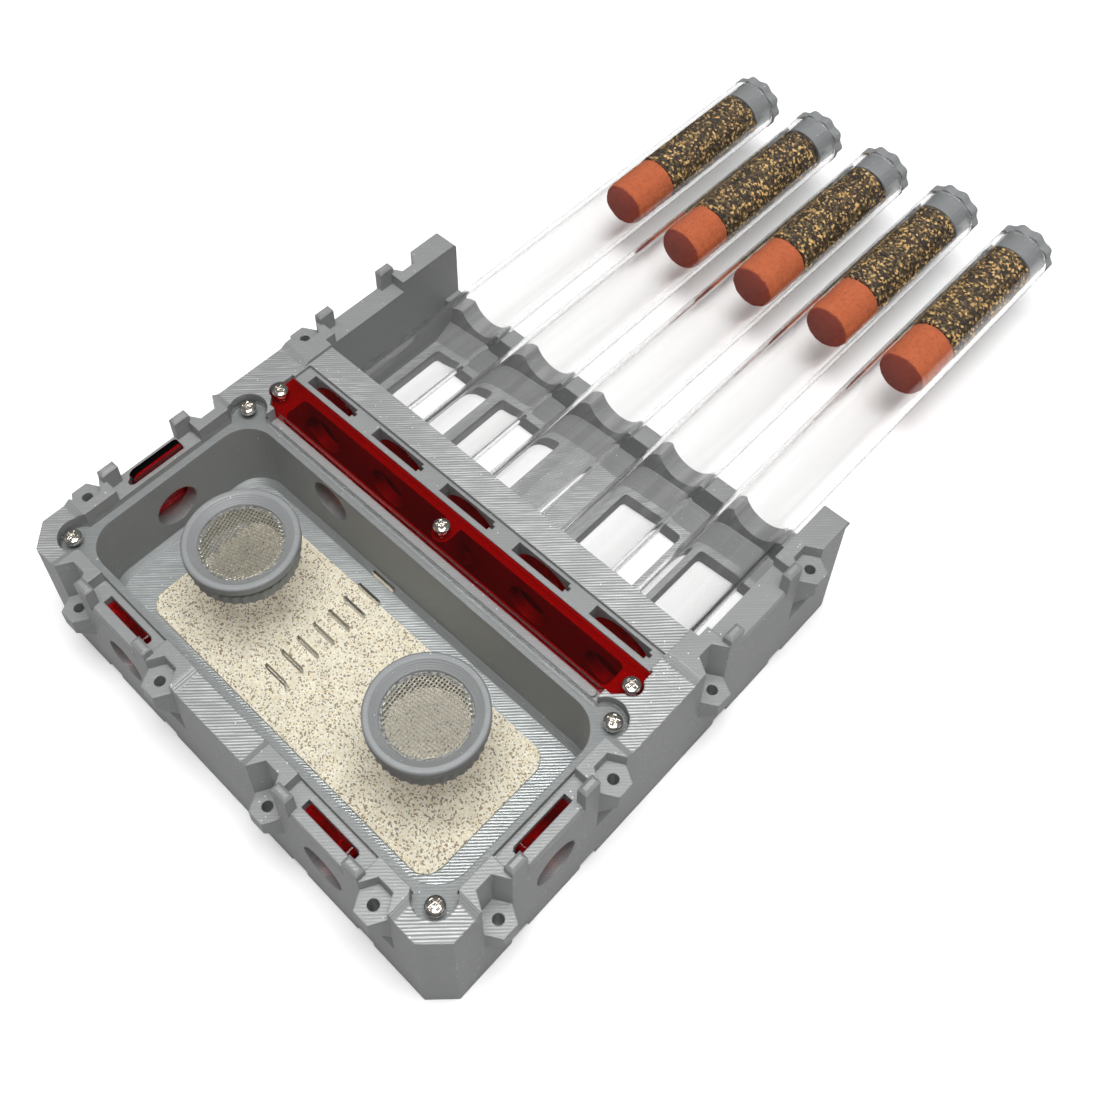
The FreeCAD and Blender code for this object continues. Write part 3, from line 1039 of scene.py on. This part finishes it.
@dataclass
class Screws:
    """The pan heads and shafts of the two groups of screws.

    Args:
        finishes: The materials.
        head: Radius of a head, in metres.
        shaft: Radius of a shaft, in metres.
        crown: Rise of the rounded top, in metres.
        rim: Height of the head, in metres.
        arm: Half the width of an arm of the cross recess, in metres.
        reach: Length of an arm from the middle, in metres.
        recess_depth: Depth of the recess, in metres.
        around: Sides of a screw.
        rings: Rings of points on the crown.
    """

    finishes: Finishes
    head: float = 0.002
    shaft: float = 0.001
    crown: float = 0.0007
    rim: float = 0.0015
    arm: float = 0.00034
    reach: float = 0.00125
    recess_depth: float = 0.00075
    around: int = 72
    rings: int = 24

    def build(self) -> None:
        """Makes both groups."""
        self.group("lid_screws", "lid", self.corners("lid_screws"))
        self.group("cover_screws", "cover", self.line("cover_screws"))

    def corners(self, node: str) -> list[tuple[float, float]]:
        """Lists the places of a group that stands at the corners of its box.

        Args:
            node: The CAD node of the group.

        Returns:
            Place of each screw, in metres.
        """
        low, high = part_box(node)
        across = (low.x + self.head, high.x - self.head)
        along = (low.y + self.head, high.y - self.head)
        return [(x, y) for x in across for y in along]

    def line(self, node: str) -> list[tuple[float, float]]:
        """Lists the places of a group of three in a line.

        Args:
            node: The CAD node of the group.

        Returns:
            Place of each screw, in metres.
        """
        low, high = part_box(node)
        x0, x1, y = low.x + self.head, high.x - self.head, (low.y + high.y) / 2.0
        return [(x0, y), ((x0 + x1) / 2.0, y), (x1, y)]

    def group(self, node: str, body: str, places: list[tuple[float, float]]) -> None:
        """Makes one group of screws.

        Args:
            node: The CAD node of the group.
            body: The body that the screws ride on.
            places: Place of each screw, in metres.
        """
        low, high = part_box(node)
        points: list[list[float]] = []
        faces: list[tuple[int, ...]] = []
        for i, (x, y) in enumerate(places):
            turn = math.radians(20.0 + 31.0 * i)
            self.screw(points, faces, Vector((x, y, low.z)), high.z, turn)
        piece = Piece(node + "_turned", body, Slot.SCREW)
        obj = piece.mesh(np.array(points), faces, self.finishes)
        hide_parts(node)

    def recess(self, u: float, v: float) -> float:
        """Gives the depth of the cross recess at a place on the head.

        Args:
            u: Place along one arm, in metres from the middle.
            v: Place along the other arm.

        Returns:
            Depth in metres.
        """
        depth = 0.0
        for a, b in ((u, v), (v, u)):
            wall = max(0.0, min(1.0, (self.arm - abs(a)) / 0.00012))
            slope = max(0.0, min(1.0, (self.reach - abs(b)) / 0.0006))
            depth = max(depth, self.recess_depth * min(wall, slope))
        return depth

    def screw(
        self,
        points: list[list[float]],
        faces: list[tuple[int, ...]],
        foot: Vector,
        top: float,
        turn: float,
    ) -> None:
        """Adds one screw from its foot to the crown of its head.

        Args:
            points: Points so far.
            faces: Faces so far.
            foot: Middle of its lower end, in metres.
            top: Height of the crown, in metres.
            turn: Turn of the cross recess, in radians.
        """
        start = len(points)
        outline: list[tuple[float, float]] = []
        for k in range(self.rings):
            r = self.head * math.sin(0.5 * math.pi * (k + 1) / self.rings)
            fall = 1.0 - math.sqrt(max(0.0, 1.0 - (r / self.head) ** 2))
            outline.append((r, top - self.crown * fall))
        under = top - self.rim
        outline += [(self.head, under), (self.shaft, under), (self.shaft, foot.z)]
        for r, z in outline:
            for k in range(self.around):
                a = 2.0 * math.pi * k / self.around
                u, v = r * math.cos(a), r * math.sin(a)
                dip = self.recess(u, v) if z > top - 0.0008 else 0.0
                c, q = math.cos(turn), math.sin(turn)
                points.append([foot.x + c * u - q * v, foot.y + q * u + c * v, z - dip])
        crown = len(points)
        points.append([foot.x, foot.y, top - self.recess(0.0, 0.0)])
        points.append([foot.x, foot.y, foot.z])
        for j in range(len(outline) - 1):
            for k in range(self.around):
                m = (k + 1) % self.around
                a, b = start + j * self.around, start + (j + 1) * self.around
                faces.append((a + k, b + k, b + m, a + m))
        last = start + (len(outline) - 1) * self.around
        for k in range(self.around):
            m = (k + 1) % self.around
            faces.append((crown, start + k, start + m))
            faces.append((crown + 1, last + m, last + k))


@dataclass
class FrameLooks:
    """Gives the shown CAD nodes their finishes.

    Args:
        finishes: The materials.
    """

    frame: dict
    finishes: Finishes

    def build(self) -> None:
        """Puts each node's slot finish on it."""
        subparts = self.frame["record"]["subparts"]
        slots = {part["node"]: part["material_slot"] for part in subparts}
        for name, obj in self.frame["nodes"].items():
            obj.data.materials.clear()
            obj.data.materials.append(self.finishes.material(Slot(slots[name])))
            LOG.info("node %s as %s", name, slots[name])


@dataclass
class Studio:
    """Floor, lamps, world and camera.

    Args:
        place: Camera place in the row frame, in metres.
        azimuth: Heading of the view about Z, in radians from +Y.
        dip: How far the view points down, in radians.
        roll: Roll of the view, in radians.
        focal_px: Focal length in pixels of the image.
        middle_px: Where the view axis meets the image.
        image_px: Width and height of the image.
        table_size: Side of the table, in metres.
        table_z: Height of the table, a hair under the object, in metres.
        table_seen: Grey of the table to the camera.
        table_bounce: Grey of the table to the light that it sends back.
        table_glow: Light that the table adds where it is seen.
    """

    place: Vector
    azimuth: float = -0.776449893
    dip: float = 0.855691115
    roll: float = -0.013951212
    focal_px: float = 1405.7158
    middle_px: tuple[float, float] = (507.3166, 322.4955)
    image_px: float = 1100.0
    table_size: float = 6.0
    table_z: float = -0.0002
    table_seen: float = 0.93
    table_bounce: float = 0.58
    table_glow: float = 0.2

    def build(self) -> None:
        """Makes everything around the object."""
        self.floor()
        self.world()
        self.lamps()
        self.camera()

    def floor(self) -> None:
        """Makes the white table, which sends less light back than the camera sees."""
        bpy.ops.mesh.primitive_plane_add(size=self.table_size, location=(0.0, 0.0, self.table_z))
        plane = bpy.context.object
        plane.name = "table"
        material = bpy.data.materials.new("table_white")
        material.use_nodes = True
        g = Graph(material.node_tree)
        shader = material.node_tree.nodes["Principled BSDF"]
        shader.inputs["Roughness"].default_value = 0.9
        shader.inputs["Specular IOR Level"].default_value = 0.1
        light = g.add("ShaderNodeLightPath")
        seen = g.math("MAXIMUM", light.outputs["Is Camera Ray"], light.outputs["Is Transmission Ray"])
        shader.inputs["Emission Color"].default_value = (1.0, 1.0, 1.0, 1.0)
        bounce, paper = (self.table_bounce,) * 3, (self.table_seen,) * 3
        g.feed(shader, "Base Color", g.mix(seen, bounce, paper))
        g.feed(shader, "Emission Strength", g.math("MULTIPLY", seen, self.table_glow))
        plane.data.materials.append(material)

    def world(self) -> None:
        """Makes the sky: white to the camera, and a paler room above a dark horizon to all else."""
        world = bpy.data.worlds.new("sky")
        bpy.context.scene.world = world
        world.use_nodes = True
        g = Graph(world.node_tree)
        back = world.node_tree.nodes["Background"]
        light = g.add("ShaderNodeLightPath")
        way = g.add("ShaderNodeTexCoord")
        parts = g.add("ShaderNodeSeparateXYZ")
        g.feed(parts, 0, way.outputs["Generated"])
        room = g.math("ADD", 0.10, g.math("MULTIPLY", g.ramp(parts.outputs[2], 0.05, 0.7), 0.26))
        dim = g.math("SUBTRACT", 1.0, g.math("MULTIPLY", light.outputs["Is Glossy Ray"], 0.55))
        strength = g.math("MAXIMUM", g.math("MULTIPLY", room, dim), light.outputs["Is Camera Ray"])
        back.inputs["Color"].default_value = (1.0, 1.0, 1.0, 1.0)
        g.feed(back, "Strength", strength)

    def lamps(self) -> None:
        """Makes the soft lamps: a wide one overhead, and low ones for the walls."""
        self.lamp("over", (0.12, -0.10, 1.0), (0.0, 0.0, 0.0), 0.55, 9.4)
        self.lamp("left", (-0.75, -0.75, 0.45), (0.0, 0.0, 0.02), 0.6, 0.35)
        self.lamp("right", (0.9, 0.3, 0.5), (0.0, 0.0, 0.02), 0.6, 0.55)

    @staticmethod
    def lamp(name: str, place: Triple, aim: Triple, size: float, power: float) -> None:
        """Makes one square lamp that looks at a point.

        Args:
            name: Name of the lamp.
            place: Where it hangs, in metres.
            aim: Point that it looks at, in metres.
            size: Its side, in metres.
            power: Its power, in watts.
        """
        data = bpy.data.lights.new(name, "AREA")
        data.size = size
        data.energy = power
        obj = bpy.data.objects.new(name, data)
        bpy.context.scene.collection.objects.link(obj)
        obj.location = place
        obj.rotation_euler = (Vector(aim) - Vector(place)).to_track_quat("-Z", "Y").to_euler()

    def camera(self) -> None:
        """Makes the camera of the photograph."""
        data = bpy.data.cameras.new("photo")
        obj = bpy.data.objects.new("photo", data)
        bpy.context.scene.collection.objects.link(obj)
        data.sensor_width = 36.0
        data.lens = self.focal_px / self.image_px * 36.0
        data.shift_x = 0.5 - self.middle_px[0] / self.image_px
        data.shift_y = self.middle_px[1] / self.image_px - 0.5
        data.clip_start = 0.01
        a, e = self.azimuth, self.dip
        look = Vector((math.sin(a) * math.cos(e), math.cos(a) * math.cos(e), -math.sin(e)))
        right = Vector((math.cos(a), -math.sin(a), 0.0))
        down = look.cross(right)
        c, s = math.cos(self.roll), math.sin(self.roll)
        right, down = c * right - s * down, s * right + c * down
        turn = Matrix((right, -down, -look)).transposed()
        obj.matrix_world = Matrix.Translation(self.place) @ turn.to_4x4()
        bpy.context.scene.camera = obj
        bpy.context.scene.view_settings.view_transform = "Standard"


def main() -> None:
    """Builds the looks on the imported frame."""
    logging.basicConfig(level=logging.INFO, format="%(name)s: %(message)s")
    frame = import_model()
    finishes = Finishes(Groups())
    FrameLooks(frame, finishes).build()
    TubeSet(finishes).build()
    Vents(finishes).build()
    Screws(finishes).build()
    Studio(Vector((0.1300834, -0.1648403, 0.2980009))).build()


if __name__ == "__main__":
    main()
